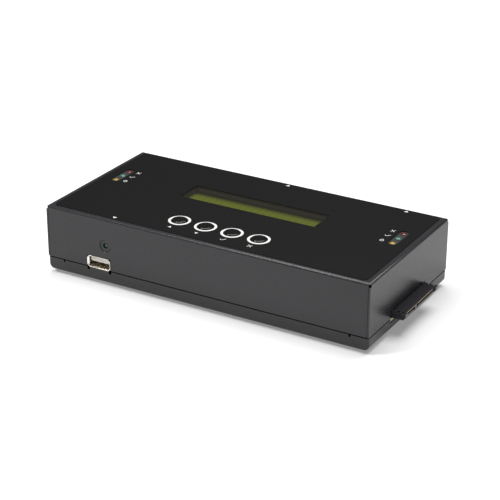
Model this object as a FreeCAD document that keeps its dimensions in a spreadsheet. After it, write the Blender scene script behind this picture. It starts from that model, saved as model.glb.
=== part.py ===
import FreeCAD, Part
import Sketcher
import math
import os
from FreeCAD import Placement, Rotation, Vector

# Drive duplicator: a folded steel box with a membrane-style top panel, a display,
# four keys, two groups of status lights, a front USB socket, two drive connectors
# on the end walls and a serial port and a power jack at the back.
#
# Millimetres. The origin is on the table, under the centre of the whole object.
# +X is to the right, the front panel faces -Y, +Z is up. Every position below is
# given from the middle of the steel box and from the table.

DIMENSIONS = (
    # the folded box
    ("case_length", 188.0), ("case_depth", 90.5), ("case_height", 36.1),
    ("case_shift", -2.25), ("foot_height", 1.8), ("sheet", 1.0),
    ("seam_height", 7.1), ("seam_gap", 0.6), ("bend_radius", 1.4),
    ("tray_bend", 3.0), ("tray_edge", 1.2), ("corner_seam", 0.2),
    ("relief_diameter", 1.5), ("tongue_span", 83.8), ("tongue_height", 6.0),
    ("tongue_play", 0.15), ("notch_width", 1.0), ("notch_depth", 1.2),
    ("joggle_overlap", 0.2), ("joggle_outside", 3.0), ("joggle_inside", 2.0),
    # feet
    ("foot_diameter", 10.0), ("foot_x", 80.0), ("foot_y", 33.0),
    # the printed film on the cover
    ("overlay_length", 181.4), ("overlay_depth", 85.9), ("overlay_thickness", 0.25),
    ("overlay_corner", 2.5),
    # the display
    ("window_length", 80.0), ("window_depth", 16.6), ("window_y", 8.3),
    ("window_recess", 3.85), ("pane_margin", 0.3),
    ("bezel_length", 98.0), ("bezel_depth", 24.5), ("bezel_height", 6.5),
    ("bezel_sheet", 0.8), ("view_length", 83.0), ("view_depth", 18.6),
    ("gasket_width", 2.5), ("glass_play", 0.4), ("pane_grip", 0.4),
    ("header_length", 41.0), ("header_width", 2.5), ("header_edge", 2.6),
    ("glass_thickness", 2.4), ("display_board_length", 116.0),
    ("display_board_depth", 37.0), ("display_post_x", 54.0), ("display_post_y", 15.5),
    # the keys
    ("key_first_x", -22.9), ("key_pitch", 15.5), ("key_y", -27.65),
    ("key_diameter", 8.6), ("key_rise", 0.75), ("key_play", 0.3),
    ("cap_height", 2.6), ("cap_edge", 0.6), ("plunger_side", 2.6),
    ("switch_side", 6.0), ("switch_height", 3.5), ("switch_bore", 1.3),
    ("key_travel", 0.4),
    # the status lights
    ("light_x", 82.6), ("light_y", 9.0), ("light_pitch", 6.5), ("light_radius", 1.5),
    ("light_rise", 0.25), ("light_barrel", 0.4), ("light_shoulder", 0.4),
    ("activity_length", 1.9), ("activity_shoulder", 1.2), ("holder_width", 5.4),
    ("holder_length", 18.6),
    # circuit boards
    ("board_thickness", 1.6), ("board_length", 181.0), ("board_depth", 82.0),
    ("board_tab_depth", 42.9), ("board_post_x", 84.0), ("board_post_y", 34.0),
    ("panel_board_top", 20.2), ("panel_board_length", 178.0),
    ("panel_board_depth", 70.0), ("panel_board_y", -6.0),
    ("panel_post_x", 68.0), ("panel_post_y", 28.0), ("post_width", 5.0),
    ("screw_head", 4.4), ("screw_rise", 1.6),
    # the largest components
    ("plug_length", 30.48), ("plug_width", 5.08), ("plug_y", -26.73),
    ("chip_side", 20.0), ("chip_x", 12.0), ("chip_y", -2.0), ("chip_chamfer", 0.3),
    ("coil_diameter", 9.5), ("coil_height", 4.2), ("coil_base", 11.0),
    ("coil_x", 56.0), ("coil_y", 24.0), ("can_diameter", 6.3), ("can_height", 7.2),
    ("can_y", 10.0), ("can_x", 56.5), ("can_pitch", 9.0),
    # the drive connectors on the end walls; heights are from the board's top
    ("drive_y", -1.4), ("drive_reach", 6.7), ("drive_inside", 9.5),
    ("drive_half", 16.4), ("drive_height", 3.9), ("nose_bottom", 0.7),
    ("ear_width", 2.7), ("ear_reach", 7.6), ("ear_top", 4.1), ("ear_inside", 5.0),
    ("ear_groove", 0.8), ("slot_top", 3.3), ("slot_bottom", 2.1),
    ("slot_key_bottom", 1.3), ("slot_half", 15.8), ("slot_depth", 5.8),
    ("signal_end", -6.2), ("power_start", -3.9), ("slot_key_width", 1.2),
    ("ear_chamfer_length", 1.2), ("ear_chamfer_height", 1.5), ("ear_groove_x", 5.6),
    ("ear_groove_pitch", 2.6), ("blade_pitch", 1.27), ("blade_width", 0.7),
    ("blade_thickness", 0.3), ("blade_first", 1.3), ("wall_step", 0.3),
    ("drive_cutout", 40.4), ("drive_cutout_top", 13.3), ("drive_cutout_bottom", 6.8),
    # the front USB socket and the activity light
    ("usb_x", -61.6), ("usb_z", 12.2), ("usb_width", 13.1), ("usb_height", 5.7),
    ("usb_length", 14.0), ("usb_sheet", 0.3), ("usb_lip_width", 14.4),
    ("usb_lip_height", 6.6), ("usb_lip_rise", 0.4), ("usb_lip_corner", 1.4),
    ("usb_notch_width", 1.6), ("usb_notch_depth", 1.5), ("usb_notch_x", 6.7),
    ("usb_cutout_width", 14.1), ("usb_cutout_top", 15.35), ("activity_x", -57.5),
    ("activity_z", 22.6),
    ("activity_hole", 2.9), ("activity_dimple", 6.0), ("dimple_depth", 0.5),
    ("activity_depth", 0.8), ("activity_block", 5.0),
    ("usb_leaf_x", 3.0), ("usb_leaf_width", 1.6), ("usb_insulator_start", 11.2),
    ("usb_insulator_width", 12.3), ("usb_insulator_height", 4.9),
    ("usb_tongue_start", 1.0), ("usb_tongue_width", 11.1), ("usb_tongue_height", 1.84),
    ("usb_tongue_z", 0.95), ("usb_blade_width", 1.0), ("usb_blade_start", 1.6),
    # the back panel
    ("serial_x", 2.3), ("serial_z", 16.0), ("serial_width", 16.9),
    ("serial_height", 8.4), ("serial_reach", 5.9), ("jackscrew_pitch", 24.99),
    ("power_x", 70.8), ("power_z", 15.4), ("power_nose", 8.0), ("power_bore", 6.3),
    ("power_pin", 2.1), ("power_width", 9.0), ("power_height", 10.9),
    ("power_length", 13.0), ("power_bore_depth", 10.0), ("power_pin_length", 9.0),
    ("flange_width", 30.8), ("flange_height", 12.5), ("flange_sheet", 0.8),
    ("serial_sheet", 0.5), ("serial_top", 6.2), ("serial_length", 9.0),
    ("serial_front", 1.2), ("serial_front_play", 0.2), ("serial_corner", 2.4), ("pin_pitch", 2.77),
    ("pin_row", 1.42), ("pin_width", 0.9), ("pin_length", 3.7),
    ("jackscrew_width", 4.8), ("jackscrew_bore", 2.4), ("jackscrew_shank", 2.6),
    ("jackscrew_hole", 3.2), ("cover_screw_x", 45.0), ("cover_screw_z", 12.2),
    ("cover_screw_hole", 3.4), ("cover_screw_head", 5.4), ("cover_screw_rise", 1.5),
    ("cover_screw_shank", 2.2), ("cover_screw_length", 5.0), ("tray_screw_hole", 2.6),
    ("serial_clearance", 34.0), ("power_clearance", 12.0),
)

FLOOR_TOP = "(dims.foot_height + dims.sheet)"
SEAM = "(dims.foot_height + dims.seam_height)"
TRAY_TOP = f"({SEAM} - dims.seam_gap / 2)"
COVER_BOTTOM = f"({SEAM} + dims.seam_gap / 2)"
COVER_TOP = "(dims.foot_height + dims.case_height)"
COVER_UNDER = f"({COVER_TOP} - dims.sheet)"
OVERLAY_TOP = f"({COVER_TOP} + dims.overlay_thickness)"
GLASS_TOP = f"({OVERLAY_TOP} - dims.window_recess)"
BEZEL_TOP = f"({GLASS_TOP} + dims.bezel_sheet)"
DISPLAY_BOARD_TOP = f"({BEZEL_TOP} - dims.bezel_height)"
BOARD_BOTTOM = f"({SEAM} - dims.board_thickness)"
PANEL_BOTTOM = "(dims.panel_board_top - dims.board_thickness)"
KEY_NAMES = ("up", "down", "accept", "cancel")
LIGHT_NAMES = ("fault", "pass", "power")
SIDES = (("left", -1), ("right", 1))
BACK_FACE = "dims.case_depth / 2"

doc = FreeCAD.newDocument("drive_duplicator")
dims = doc.addObject("Spreadsheet::Sheet", "dims")
for row, (alias, number) in enumerate(DIMENSIONS, start=1):
    dims.set(f"A{row}", alias)
    dims.set(f"B{row}", str(number))
    dims.setAlias(f"B{row}", alias)
doc.recompute()

parts = []


# ---------------------------------------------------------------- helpers

def value(expression):
    """The number that an expression of the sheet has now."""
    result = dims.evalExpression(expression)
    return float(getattr(result, "Value", result))


def point(x, y, z=0.0):
    """A point whose coordinates are numbers or expressions of the sheet."""
    return Vector(*(value(str(number)) for number in (x, y, z)))


def place(item, x="0", y="0", z="0", turn=0.0):
    """Put a sub-part at a point given from the box's middle and the table."""
    item.Placement = Placement(Vector(), Rotation(Vector(0, 0, 1), turn))
    item.setExpression("Placement.Base.x", x)
    item.setExpression("Placement.Base.y", f"dims.case_shift + {y}")
    item.setExpression("Placement.Base.z", z)


def new_body(label, x="0", y="0", z="0", turn=0.0):
    body = doc.addObject("PartDesign::Body", label)
    body.Label = label
    place(body, x, y, z, turn)
    parts.append(body)
    return body


def new_shape(label, shape):
    """A sub-part from a finished shape that is given in the box's own frame."""
    item = doc.addObject("Part::Feature", label)
    item.Label = label
    item.Shape = shape
    place(item)
    parts.append(item)
    return item


def new_sketch(body, role, lift="0", x="0", y="0"):
    """A sketch on one of the body's own origin planes, lifted along its normal."""
    sketch = body.newObject("Sketcher::SketchObject", body.Label + "_sketch")
    plane = next(item for item in body.Origin.OriginFeatures if item.Role == role)
    sketch.AttachmentSupport = (plane, [""])
    sketch.MapMode = "FlatFace"
    sketch.setExpression("AttachmentOffset.Base.x", x)
    sketch.setExpression("AttachmentOffset.Base.y", y)
    sketch.setExpression("AttachmentOffset.Base.z", lift)
    return sketch


def bind(sketch, kind, *arguments):
    """Add a constraint whose value is the last argument, an expression."""
    *items, expression = arguments
    index = sketch.addConstraint(Sketcher.Constraint(kind, *items, value(expression)))
    sketch.setExpression(f"Constraints[{index}]", expression)


def add_polygon(sketch, corners):
    """A closed outline whose corners are pairs of expressions."""
    spots = [point(x, y) for x, y in corners]
    pairs = zip(spots, spots[1:] + spots[:1])
    lines = [sketch.addGeometry(Part.LineSegment(a, b)) for a, b in pairs]
    for line, following in zip(lines, lines[1:] + lines[:1]):
        sketch.addConstraint(Sketcher.Constraint("Coincident", line, 2, following, 1))
    for line, (x, y) in zip(lines, corners):
        bind(sketch, "DistanceX", -1, 1, line, 1, x)
        bind(sketch, "DistanceY", -1, 1, line, 1, y)


def add_rectangle(sketch, width, height, x="0", y="0"):
    """A rectangle given by its size and its centre."""
    left, right = f"{x} - ({width}) / 2", f"{x} + ({width}) / 2"
    low, high = f"{y} - ({height}) / 2", f"{y} + ({height}) / 2"
    add_polygon(sketch, ((left, low), (right, low), (right, high), (left, high)))


def add_cut_rectangle(sketch, width, height, corner):
    """A rectangle about the sketch's origin whose four corners are cut off."""
    far, near = f"({width}) / 2", f"(({width}) / 2 - {corner})"
    top, low = f"({height}) / 2", f"(({height}) / 2 - {corner})"
    add_polygon(sketch, ((near, top), (far, low), (far, f"-{low}"), (near, f"-{top}"),
                         (f"-{near}", f"-{top}"), (f"-{far}", f"-{low}"), (f"-{far}", low),
                         (f"-{near}", top)))


def add_circle(sketch, diameter, x="0", y="0"):
    circle = Part.Circle(point(x, y), Vector(0, 0, 1), value(diameter) / 2)
    index = sketch.addGeometry(circle)
    bind(sketch, "DistanceX", -1, 1, index, 3, x)
    bind(sketch, "DistanceY", -1, 1, index, 3, y)
    bind(sketch, "Diameter", index, diameter)


def sized(body, kind, sketch, length, midplane=False, backwards=False):
    """A pad or a pocket of a sketch."""
    feature = body.newObject("PartDesign::" + kind, f"{body.Label}_{kind.lower()}")
    feature.Profile = (sketch, [""])
    feature.setExpression("Length", length)
    feature.Midplane = midplane
    feature.Reversed = backwards
    return feature


def pad(body, sketch, length, **options):
    return sized(body, "Pad", sketch, length, **options)


def pocket(body, sketch, length, **options):
    return sized(body, "Pocket", sketch, length, **options)


def turned(body, corners):
    """Revolve an outline of (radius, height) pairs about the body's own Z axis."""
    profile = new_sketch(body, "XZ_Plane")
    add_polygon(profile, corners)
    feature = body.newObject("PartDesign::Revolution", body.Label + "_turned")
    feature.Profile = (profile, [""])
    feature.ReferenceAxis = (profile, ["V_Axis"])
    feature.Angle = 360
    return feature


def dressed(body, kind, base, size, chosen):
    """A fillet or a chamfer on the edges of the base for which chosen(edge) holds."""
    doc.recompute()
    edges = base.Shape.Edges
    names = [f"Edge{i}" for i, edge in enumerate(edges, start=1) if chosen(edge)]
    feature = body.newObject("PartDesign::" + kind, f"{body.Label}_{kind.lower()}")
    feature.Base = (base, names)
    feature.setExpression("Radius" if kind == "Fillet" else "Size", size)
    return feature


def hollowed(body, base, thickness, chosen):
    """Shell the base inwards, open at the face for which chosen(face) holds."""
    doc.recompute()
    faces = base.Shape.Faces
    names = [f"Face{i}" for i, face in enumerate(faces, start=1) if chosen(face)]
    feature = body.newObject("PartDesign::Thickness", body.Label + "_thickness")
    feature.Base = (base, names)
    feature.setExpression("Value", thickness)
    feature.Reversed = True
    feature.Join = 1
    return feature


def mirrored(body, features, role):
    """Repeat features on the other side of one of the body's origin planes."""
    plane = next(item for item in body.Origin.OriginFeatures if item.Role == role)
    feature = body.newObject("PartDesign::Mirrored", body.Label + "_mirrored")
    feature.Originals = features
    feature.MirrorPlane = (plane, [""])
    body.Tip = feature
    return feature


def is_level(edge, height):
    """True for an edge that lies in the level plane at this height."""
    return all(abs(v.Z - height) < 1e-4 for v in edge.Vertexes)


def is_upright(edge):
    start, end = edge.Vertexes[0].Point, edge.Vertexes[-1].Point
    return (end - start).Length > 1e-6 and abs((end - start).normalize().z) > 0.999


def box(x0, x1, y0, y1, z0, z1):
    """A box between pairs of coordinates, as numbers."""
    return Part.makeBox(x1 - x0, y1 - y0, z1 - z0, Vector(x0, y0, z0))


def rod(diameter, length, start, direction):
    return Part.makeCylinder(diameter / 2, length, start, direction)


def hexagon(across_flats, length, start, direction):
    """A hexagonal bar."""
    radius = across_flats / math.sqrt(3)
    spots = [Vector(radius * math.cos(math.radians(60 * i)),
                    radius * math.sin(math.radians(60 * i)), 0) for i in range(7)]
    bar = Part.Face(Part.makePolygon(spots)).extrude(Vector(0, 0, length))
    bar.Placement = Placement(start, Rotation(Vector(0, 0, 1), direction))
    return bar


UP = Vector(0, 0, 1)
DOWN = Vector(0, 0, -1)
BACKWARDS = Vector(0, 1, 0)


# ---------------------------------------------------------------- steel box

def top_cover():
    """A five-sided cover, bent down on four sides and open below."""
    body = new_body("top_cover")
    outline = new_sketch(body, "XY_Plane", COVER_BOTTOM)
    add_rectangle(outline, "dims.case_length", "dims.case_depth")
    block = pad(body, outline, f"{COVER_TOP} - {COVER_BOTTOM}")
    top = value(COVER_TOP)
    bends = dressed(body, "Fillet", block, "dims.bend_radius", lambda e: is_level(e, top))
    body.Tip = bends
    inside = new_sketch(body, "XY_Plane", COVER_UNDER)
    add_rectangle(inside, "dims.case_length - 2 * dims.sheet",
                  "dims.case_depth - 2 * dims.sheet")
    hollow = pocket(body, inside, f"{COVER_UNDER} - {COVER_BOTTOM}")
    under = value(COVER_UNDER)
    dressed(body, "Fillet", hollow, "dims.bend_radius - dims.sheet",
            lambda e: is_level(e, under))

    # openings in the top: display, keys, status lights
    windows = new_sketch(body, "XY_Plane", COVER_TOP)
    margin = "2 * dims.pane_margin"
    add_rectangle(windows, f"dims.window_length + {margin}",
                  f"dims.window_depth + {margin}", y="dims.window_y")
    for number in range(len(KEY_NAMES)):
        add_circle(windows, "dims.key_diameter + 2 * dims.key_play",
                   f"dims.key_first_x + {number} * dims.key_pitch", "dims.key_y")
    pocket(body, windows, "4 * dims.sheet", midplane=True)
    slot = new_sketch(body, "XY_Plane", COVER_TOP)
    add_slot(slot, "dims.holder_width + 0.2", "dims.holder_length + 0.2",
             "dims.light_x", "dims.light_y")
    slots = pocket(body, slot, "4 * dims.sheet", midplane=True)
    mirrored(body, [slots], "YZ_Plane")

    # front: USB cut-out, activity light in a shallow pressed dimple
    front = new_sketch(body, "XZ_Plane", "dims.case_depth / 2")
    add_rectangle(front, "dims.usb_cutout_width", f"dims.usb_cutout_top - {SEAM} + 1",
                  "dims.usb_x", f"(dims.usb_cutout_top + {SEAM} - 1) / 2")
    add_circle(front, "dims.activity_hole", "dims.activity_x", "dims.activity_z")
    pocket(body, front, "4 * dims.sheet", midplane=True)
    dimple = new_sketch(body, "XZ_Plane", "dims.case_depth / 2")
    add_circle(dimple, "dims.activity_dimple", "dims.activity_x", "dims.activity_z")
    sunk = pocket(body, dimple, "2 * dims.dimple_depth", midplane=True)
    dimple_edge = value("dims.case_depth / 2 - dims.dimple_depth")
    rim = value("dims.activity_dimple / 2")
    dressed(body, "Chamfer", sunk, "dims.dimple_depth - 0.02",
            lambda e: abs(e.BoundBox.YMin + dimple_edge + value("dims.dimple_depth")) < 1e-4
            and abs(e.Length - 2 * math.pi * rim) < 1e-3)

    # end walls: the drive connectors pass through
    ends = new_sketch(body, "YZ_Plane")
    add_rectangle(ends, "dims.drive_cutout", f"2 * (dims.drive_cutout_top - {SEAM})",
                  "dims.drive_y", SEAM)
    pocket(body, ends, "dims.case_length + 4", midplane=True)

    # back: serial port, its two screw holes, power jack, two cover screws
    back = new_sketch(body, "XZ_Plane", "-dims.case_depth / 2")
    add_rectangle(back, "dims.serial_width + 2", "dims.serial_height + 1.6",
                  "dims.serial_x", "dims.serial_z")
    for side in (-1, 1):
        add_circle(back, "dims.jackscrew_hole", f"dims.serial_x + {side} * dims.jackscrew_pitch / 2",
                   "dims.serial_z")
    add_circle(back, "dims.power_nose + 0.4", "dims.power_x", "dims.power_z")
    for side in (-1, 1):
        add_circle(back, "dims.cover_screw_hole", f"{side} * dims.cover_screw_x",
                   "dims.cover_screw_z")
    pocket(body, back, "4 * dims.sheet", midplane=True)

    # the open seam down each upright corner, ending in a round relief hole
    seams = new_sketch(body, "XY_Plane", COVER_BOTTOM)
    for across in (-1, 1):
        for along in (-1, 1):
            add_rectangle(seams, "dims.corner_seam", "dims.sheet + 0.6",
                          f"{across} * (dims.case_length / 2 - dims.sheet - dims.corner_seam / 2)",
                          f"{along} * (dims.case_depth / 2 - dims.sheet / 2)")
    pocket(body, seams, "dims.case_height - dims.seam_height - dims.bend_radius - 1",
           backwards=True)
    for across in (-1, 1):
        for along in (-1, 1):
            relief = body.newObject("PartDesign::SubtractiveCylinder", "relief")
            relief.setExpression("Radius", "dims.relief_diameter / 2")
            relief.Height = 6
            outward = Vector(across, along, 1).normalize()
            corner = point(f"{across} * (dims.case_length / 2 - 0.4)",
                           f"{along} * (dims.case_depth / 2 - 0.4)",
                           f"{COVER_TOP} - dims.bend_radius")
            relief.Placement = Placement(corner - outward * 2.5, Rotation(UP, outward))


def add_slot(sketch, width, length, x, y):
    """A round-ended slot that runs along the sketch's vertical axis."""
    radius = f"({width}) / 2"
    reach = f"(({length}) - ({width})) / 2"
    middle = point(x, y)
    half, run = value(radius), value(reach)
    right = Part.LineSegment(middle + Vector(half, -run), middle + Vector(half, run))
    left = Part.LineSegment(middle + Vector(-half, run), middle + Vector(-half, -run))
    upper = Part.ArcOfCircle(Part.Circle(middle + Vector(0, run), UP, half), 0, math.pi)
    lower = Part.ArcOfCircle(Part.Circle(middle - Vector(0, run), UP, half),
                             math.pi, 2 * math.pi)
    r, a, l, b = (sketch.addGeometry(item) for item in (right, upper, left, lower))
    for first, end, second, start in ((r, 2, a, 1), (a, 2, l, 1), (l, 2, b, 1), (b, 2, r, 1)):
        sketch.addConstraint(Sketcher.Constraint("Tangent", first, end, second, start))
    sketch.addConstraint(Sketcher.Constraint("Vertical", r))
    bind(sketch, "Radius", a, radius)
    bind(sketch, "DistanceX", -1, 1, a, 3, x)
    bind(sketch, "DistanceY", -1, 1, a, 3, f"{y} + {reach}")
    bind(sketch, "DistanceY", -1, 1, b, 3, f"{y} - {reach}")


def bottom_tray():
    """A shallow tray with wide bends at the ends and joggled tongues front and back."""
    body = new_body("bottom_tray")
    outline = new_sketch(body, "XY_Plane", "dims.foot_height")
    add_rectangle(outline, "dims.case_length", "dims.case_depth")
    block = pad(body, outline, f"{TRAY_TOP} - dims.foot_height")
    low = value("dims.foot_height")
    end = value("dims.case_length / 2")
    wide = dressed(body, "Fillet", block, "dims.tray_bend",
                   lambda e: is_level(e, low) and abs(e.CenterOfMass.x) > end - 1e-4)
    side = value("dims.case_depth / 2")
    edges = dressed(body, "Fillet", wide, "dims.tray_edge",
                    lambda e: abs(e.CenterOfMass.y) > side - 1e-4
                    and e.CenterOfMass.z < low + value("dims.tray_bend"))
    body.Tip = edges
    inside = new_sketch(body, "XY_Plane", TRAY_TOP)
    add_rectangle(inside, "dims.case_length - 2 * dims.sheet",
                  "dims.case_depth - 2 * dims.sheet")
    hollow = pocket(body, inside, f"{TRAY_TOP} - {FLOOR_TOP}")
    floor, inner_end = value(FLOOR_TOP), value("dims.case_length / 2 - dims.sheet")
    dressed(body, "Fillet", hollow, "dims.tray_bend - dims.sheet",
            lambda e: is_level(e, floor) and abs(abs(e.CenterOfMass.x) - inner_end) < 1e-3)

    # tongues: the front and back flanges step inwards and rise inside the cover
    inner = "(dims.case_depth / 2 - dims.sheet)"
    outside, inside_low = f"{TRAY_TOP} - dims.joggle_outside", f"{TRAY_TOP} - dims.joggle_inside"
    for left, right in (("-dims.tongue_span", "dims.usb_x - dims.usb_cutout_width / 2"),
                        ("dims.usb_x + dims.usb_cutout_width / 2", "dims.tongue_span")):
        profile = new_sketch(body, "YZ_Plane", left)
        near, far = f"-({inner} - dims.tongue_play)", f"-({inner} - dims.sheet)"
        add_polygon(profile, ((f"-{inner} - dims.joggle_overlap", outside),
                              (far, inside_low),
                              (far, f"{SEAM} + dims.tongue_height"),
                              (near, f"{SEAM} + dims.tongue_height"),
                              (near, TRAY_TOP),
                              (f"-{inner} - dims.joggle_overlap", TRAY_TOP)))
        pad(body, profile, f"{right} - ({left})")
    back = new_sketch(body, "YZ_Plane")
    near, far = f"({inner} - dims.tongue_play)", f"({inner} - dims.sheet)"
    add_polygon(back, ((f"{inner} + dims.joggle_overlap", outside),
                       (f"{inner} + dims.joggle_overlap", TRAY_TOP),
                       (near, TRAY_TOP), (near, f"{SEAM} + dims.tongue_height"),
                       (far, f"{SEAM} + dims.tongue_height"), (far, inside_low)))
    pad(body, back, "2 * dims.tongue_span", midplane=True)

    # relief notches in the rim beside the tongues and under the USB socket
    notches = new_sketch(body, "XZ_Plane")
    for x in ("-dims.tongue_span", "dims.tongue_span"):
        add_rectangle(notches, "dims.notch_width", "2 * dims.notch_depth", x, TRAY_TOP)
    pocket(body, notches, "dims.case_depth + 4", midplane=True)
    corners = new_sketch(body, "XZ_Plane", "dims.case_depth / 2")
    for side_sign in (-1, 1):
        add_rectangle(corners, "dims.usb_notch_width", "2 * dims.usb_notch_depth",
                      f"dims.usb_x + {side_sign} * dims.usb_notch_x", TRAY_TOP)
    pocket(body, corners, "4 * dims.sheet", midplane=True)

    # the back tongue clears the serial port and the power jack and takes the screws
    back_holes = new_sketch(body, "XZ_Plane", f"-({inner} - dims.sheet / 2)")
    add_rectangle(back_holes, "dims.serial_clearance", "2 * dims.tongue_height + 2", "dims.serial_x",
                  f"{SEAM} + dims.tongue_height + 1")
    add_rectangle(back_holes, "dims.power_clearance", "2 * dims.tongue_height + 2", "dims.power_x",
                  f"{SEAM} + dims.tongue_height + 1")
    for side_sign in (-1, 1):
        add_circle(back_holes, "dims.tray_screw_hole", f"{side_sign} * dims.cover_screw_x",
                   "dims.cover_screw_z")
    pocket(body, back_holes, "1.6 * dims.sheet", midplane=True)

    # end walls: lower part of the drive connector openings
    ends = new_sketch(body, "YZ_Plane")
    add_rectangle(ends, "dims.drive_cutout", f"2 * ({SEAM} - dims.drive_cutout_bottom)",
                  "dims.drive_y", SEAM)
    pocket(body, ends, "dims.case_length + 4", midplane=True)


def rubber_feet():
    """Four round stick-on feet."""
    for name, across, along in (("front_left", -1, -1), ("front_right", 1, -1),
                                ("back_left", -1, 1), ("back_right", 1, 1)):
        body = new_body("foot_" + name, f"{across} * dims.foot_x", f"{along} * dims.foot_y")
        disc = new_sketch(body, "XY_Plane")
        add_circle(disc, "dims.foot_diameter")
        pad(body, disc, "dims.foot_height")


def cover_screws():
    """Two pan-head screws through the back of the cover into the tray's tongue."""
    face = value(BACK_FACE)
    height = value("dims.cover_screw_z")
    screws = []
    for side in (-1, 1):
        seat = Vector(side * value("dims.cover_screw_x"), face, height)
        head = rod(value("dims.cover_screw_head"), value("dims.cover_screw_rise"), seat, BACKWARDS)
        shank = hexagon(value("dims.cover_screw_shank"), value("dims.cover_screw_length"), seat,
                        -BACKWARDS)
        screws.append(head.fuse(shank))
    new_shape("cover_screws", Part.makeCompound(screws))


# ---------------------------------------------------------------- top panel

def graphic_overlay():
    """The thin printed film over the top, open at the display, keys and lights."""
    body = new_body("graphic_overlay")
    outline = new_sketch(body, "XY_Plane", COVER_TOP)
    add_rectangle(outline, "dims.overlay_length", "dims.overlay_depth")
    film = pad(body, outline, "dims.overlay_thickness")
    dressed(body, "Fillet", film, "dims.overlay_corner", is_upright)
    holes = new_sketch(body, "XY_Plane", COVER_TOP)
    add_rectangle(holes, "dims.window_length", "dims.window_depth", y="dims.window_y")
    for number in range(len(KEY_NAMES)):
        add_circle(holes, "dims.key_diameter + 2 * dims.key_play - 0.1",
                   f"dims.key_first_x + {number} * dims.key_pitch", "dims.key_y")
    pocket(body, holes, "4 * dims.sheet", midplane=True)
    slot = new_sketch(body, "XY_Plane", COVER_TOP)
    add_slot(slot, "dims.holder_width - 0.4", "dims.holder_length - 0.4",
             "dims.light_x", "dims.light_y")
    slots = pocket(body, slot, "4 * dims.sheet", midplane=True)
    mirrored(body, [slots], "YZ_Plane")


def display():
    """The display module and the clear pane in front of it, from the top down."""
    pane = new_body("display_window", y="dims.window_y")
    outline = new_sketch(pane, "XY_Plane", COVER_UNDER)
    add_rectangle(outline, "dims.window_length + dims.pane_grip",
                  "dims.window_depth + dims.pane_grip")
    pad(pane, outline, "dims.sheet")

    gasket = new_body("display_gasket", y="dims.window_y")
    ring = new_sketch(gasket, "XY_Plane", BEZEL_TOP)
    add_rectangle(ring, "dims.window_length + 2 * dims.gasket_width",
                  "dims.window_depth + 2 * dims.gasket_width")
    add_rectangle(ring, "dims.window_length", "dims.window_depth")
    pad(gasket, ring, f"{COVER_UNDER} - {BEZEL_TOP}")

    bezel = new_body("display_bezel", y="dims.window_y")
    outline = new_sketch(bezel, "XY_Plane", DISPLAY_BOARD_TOP)
    add_rectangle(outline, "dims.bezel_length", "dims.bezel_depth")
    block = pad(bezel, outline, "dims.bezel_height")
    low = value(DISPLAY_BOARD_TOP)
    hollowed(bezel, block, "dims.bezel_sheet", lambda f: abs(f.CenterOfMass.z - low) < 1e-4)
    view = new_sketch(bezel, "XY_Plane", BEZEL_TOP)
    add_rectangle(view, "dims.view_length", "dims.view_depth")
    pocket(bezel, view, "4 * dims.bezel_sheet", midplane=True)

    inner_length = "dims.bezel_length - 2 * dims.bezel_sheet - dims.glass_play"
    inner_depth = "dims.bezel_depth - 2 * dims.bezel_sheet - dims.glass_play"
    glass = new_body("display_glass", y="dims.window_y")
    outline = new_sketch(glass, "XY_Plane", f"{GLASS_TOP} - dims.glass_thickness")
    add_rectangle(outline, inner_length, inner_depth)
    pad(glass, outline, "dims.glass_thickness")

    light = new_body("display_backlight", y="dims.window_y")
    outline = new_sketch(light, "XY_Plane", DISPLAY_BOARD_TOP)
    add_rectangle(outline, inner_length, inner_depth)
    pad(light, outline, f"{GLASS_TOP} - dims.glass_thickness - {DISPLAY_BOARD_TOP}")

    board = new_body("display_board", y="dims.window_y")
    outline = new_sketch(board, "XY_Plane", f"{DISPLAY_BOARD_TOP} - dims.board_thickness")
    add_rectangle(outline, "dims.display_board_length", "dims.display_board_depth")
    pad(board, outline, "dims.board_thickness")

    # hexagonal spacers between the display board and the panel board
    low = value("dims.panel_board_top")
    under = value(f"{DISPLAY_BOARD_TOP} - dims.board_thickness")
    spacers = []
    for across in (-1, 1):
        for along in (-1, 1):
            foot = point(f"{across} * dims.display_post_x",
                         f"dims.window_y + {along} * dims.display_post_y", low)
            spacers.append(hexagon(value("dims.post_width"), under - low, foot, UP))
    new_shape("display_spacers", Part.makeCompound(spacers))

    # the pin header that joins the display board to the panel board
    header_y = value("dims.window_y - dims.display_board_depth / 2 + dims.header_edge")
    reach, half = value("dims.header_length / 2"), value("dims.header_width / 2")
    strip = box(-reach, reach, header_y - half, header_y + half, low, under)
    new_shape("display_header", strip)


def keys():
    """Four round keys, each a cap on the plunger of its own switch."""
    rim, under = "dims.key_diameter / 2", "dims.key_rise - dims.cap_height"
    for number, name in enumerate(KEY_NAMES):
        x = f"dims.key_first_x + {number} * dims.key_pitch"
        # heights in the cap are taken from the top of the overlay
        cap = new_body("key_cap_" + name, x, "dims.key_y", OVERLAY_TOP)
        turned(cap, (("0", "dims.key_rise"), (f"{rim} - dims.cap_edge", "dims.key_rise"),
                     (rim, "dims.key_rise - dims.cap_edge"), (rim, under), ("0", under)))
        switch = new_body("switch_" + name, x, "dims.key_y", "dims.panel_board_top")
        outline = new_sketch(switch, "XY_Plane")
        add_rectangle(outline, "dims.switch_side", "dims.switch_side")
        pad(switch, outline, "dims.switch_height")
        bore = new_sketch(switch, "XY_Plane", "dims.switch_height")
        add_rectangle(bore, "dims.plunger_side + 0.6", "dims.plunger_side + 0.6")
        pocket(switch, bore, "dims.switch_bore")
        # the plunger's foot is inside the switch, with room for the key's travel below it
        foot = "dims.switch_height - dims.switch_bore + dims.key_travel + 0.2"
        plunger = new_body("key_plunger_" + name, x, "dims.key_y", "dims.panel_board_top")
        outline = new_sketch(plunger, "XY_Plane", foot)
        add_rectangle(outline, "dims.plunger_side", "dims.plunger_side")
        pad(plunger, outline, f"{OVERLAY_TOP} + {under} - dims.panel_board_top - ({foot})")


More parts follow.
